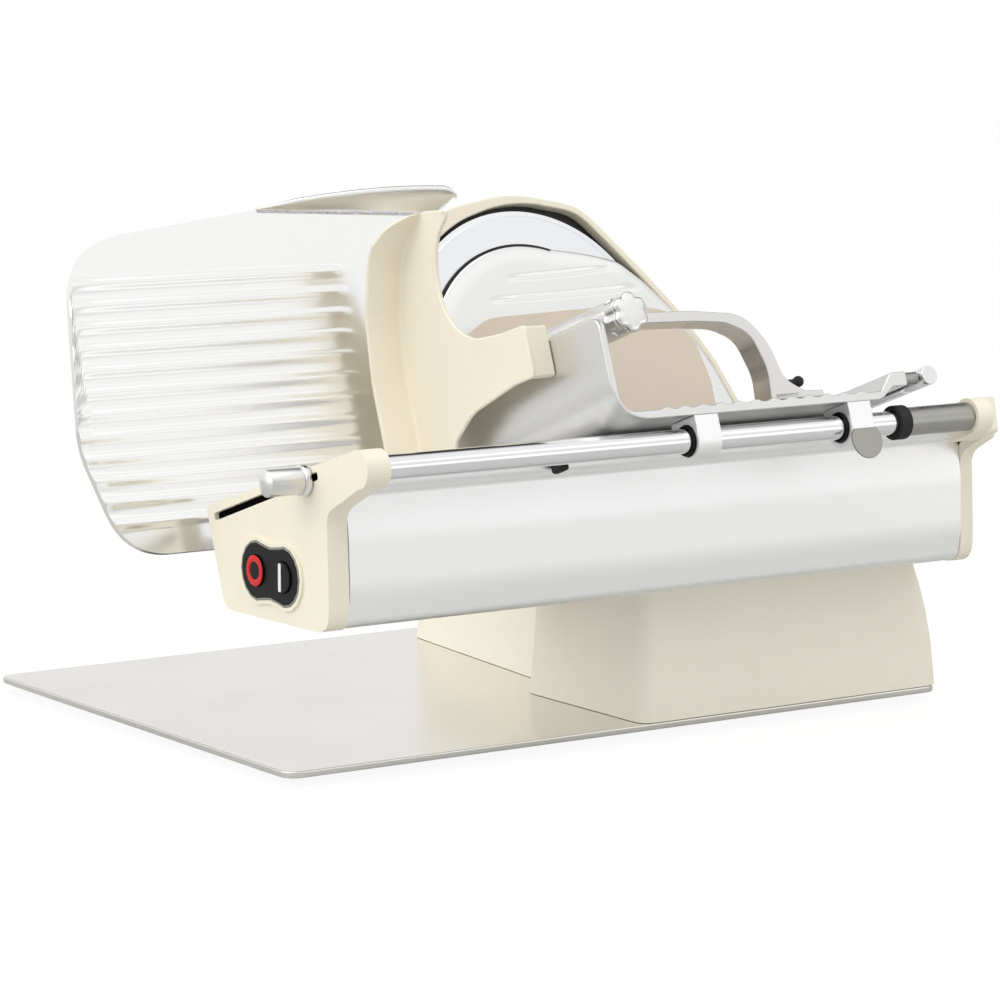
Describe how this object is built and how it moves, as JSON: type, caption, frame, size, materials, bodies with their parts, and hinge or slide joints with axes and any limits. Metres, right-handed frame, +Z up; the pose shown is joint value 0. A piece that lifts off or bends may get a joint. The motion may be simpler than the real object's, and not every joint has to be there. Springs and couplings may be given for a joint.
{
  "type": "electric gravity feed food slicer",
  "caption": "Tilted round-blade food slicer with a ribbed gauge plate, a sliding tray with a guard, a pusher arm on a shaft, a housing with a thickness knob, and a base plate.",
  "frame": {"origin": "middle of the footprint, on the surface that the feet stand on", "axes": "+X along the guide rail away from the switch end, +Y to the back, +Z up"},
  "size_m": [0.5586, 0.4608, 0.338],
  "materials": {
    "cream_paint": "gloss",
    "cream_plastic": "gloss",
    "anodised_aluminium": "satin",
    "white_aluminium": "satin",
    "chrome_steel": "polished",
    "plain_steel": "satin",
    "blade_steel": "ground",
    "black_plastic": "matte",
    "black_rubber": "matte",
    "beige_plastic": "satin",
    "circuit_board": "matte",
    "motor_metal": "painted"
  },
  "bodies": {
    "machine_base": {"base_plate": "anodised_aluminium", "foot_front_left": "black_rubber", "foot_front_right": "black_rubber", "foot_rear_left": "black_rubber", "foot_rear_right": "black_rubber", "base_cabinet": "cream_paint", "cord_gland": "black_plastic", "mounting_plate": "plain_steel", "rail_housing": "white_aluminium", "housing_screw": "plain_steel", "switch_end_cap": "cream_plastic", "far_end_cap": "cream_plastic", "guide_rail": "chrome_steel", "rail_sleeve": "plain_steel", "rail_stop_ring": "black_rubber", "rail_rest_bumper": "black_rubber", "switch_rim": "plain_steel", "switch_plate": "black_plastic", "control_board": "circuit_board", "blade_body": "cream_paint", "blade_well_liner": "black_plastic", "rear_cover": "cream_paint", "bearing_front": "plain_steel", "bearing_rear": "plain_steel", "drive_motor": "motor_metal", "drive_belt": "black_rubber", "motor_hump": "cream_paint", "blade_cover": "anodised_aluminium"},
    "blade": {"slicing_blade": "blade_steel", "blade_shaft": "plain_steel", "blade_pulley": "anodised_aluminium"},
    "motor_rotor": {"motor_shaft": "plain_steel", "motor_pulley": "anodised_aluminium"},
    "cover_tie": {"cover_tie_rod": "plain_steel", "cover_release_knob": "black_plastic"},
    "thickness_control": {"thickness_knob": "anodised_aluminium", "knob_collar": "chrome_steel"},
    "gauge": {"gauge_plate": "anodised_aluminium", "gauge_slide": "plain_steel"},
    "carriage": {"carriage_tray": "anodised_aluminium", "hand_guard": "cream_plastic", "rail_bracket_left": "white_aluminium", "rail_bracket_right": "white_aluminium", "bracket_bush_left": "black_plastic", "bracket_bush_right": "black_plastic", "pusher_shaft": "chrome_steel", "shaft_spacer_front": "plain_steel", "shaft_spacer_rear": "plain_steel"},
    "lock_disc": {"carriage_lock_disc": "plain_steel"},
    "pusher_slide": {"pusher_slide_bush": "black_plastic"},
    "pusher": {"pusher_arm": "anodised_aluminium", "pusher_handle": "anodised_aluminium", "handle_end_cap": "anodised_aluminium", "pusher_plate": "beige_plastic", "arm_stop": "black_rubber"},
    "stop_key": {"stop_button": "black_plastic"},
    "start_key": {"start_button": "black_plastic"}
  },
  "joints": [
    {"name": "blade_spin", "type": "hinge", "parent": "machine_base", "child": "blade", "pos_m": [0.05454, -0.00253, 0.2269], "axis": [0, 0.9397, -0.342], "continuous": true},
    {"name": "motor_spin", "type": "hinge", "parent": "machine_base", "child": "motor_rotor", "pos_m": [0.15234, -0.03947, 0.12541], "axis": [0, 0.9397, -0.342], "continuous": true},
    {"name": "cover_tie_turn", "type": "hinge", "parent": "machine_base", "child": "cover_tie", "pos_m": [0.17234, -0.01621, 0.18931], "axis": [0, 0.9397, -0.342], "range_deg": [-1080, 0]},
    {"name": "thickness_slide", "type": "slide", "parent": "machine_base", "child": "thickness_control", "axis": [0, 0.9513, -0.3083], "range_m": [-0.011, 0.109]},
    {"name": "gauge_slide_in", "type": "slide", "parent": "machine_base", "child": "gauge", "axis": [0, 0.9397, -0.342], "range_m": [-0.0088, 0.0009]},
    {"name": "carriage_slide", "type": "slide", "parent": "machine_base", "child": "carriage", "axis": [1, 0, 0], "range_m": [-0.168, 0.012]},
    {"name": "carriage_lock_turn", "type": "hinge", "parent": "carriage", "child": "lock_disc", "pos_m": [0.14784, -0.21911, 0.18739], "axis": [0, 0.9397, -0.342], "range_deg": [0, 90]},
    {"name": "pusher_slide_back", "type": "slide", "parent": "carriage", "child": "pusher_slide", "axis": [0, 0.9397, -0.342], "range_m": [-0.08, 0.018]},
    {"name": "pusher_lift", "type": "hinge", "parent": "pusher_slide", "child": "pusher", "pos_m": [0.20534, -0.10584, 0.18575], "axis": [0, 0.9397, -0.342], "range_deg": [0, 110]},
    {"name": "stop_press", "type": "slide", "parent": "machine_base", "child": "stop_key", "axis": [1, 0, 0], "range_m": [0, 0.002], "stiffness_N_per_m": 1500},
    {"name": "start_press", "type": "slide", "parent": "machine_base", "child": "start_key", "axis": [1, 0, 0], "range_m": [0, 0.002], "stiffness_N_per_m": 1500}
  ],
  "couplings": [
    {"joint": "motor_spin", "follows": "blade_spin", "ratio": 2.9231},
    {"joint": "gauge_slide_in", "follows": "thickness_slide", "ratio": -0.08}
  ]
}
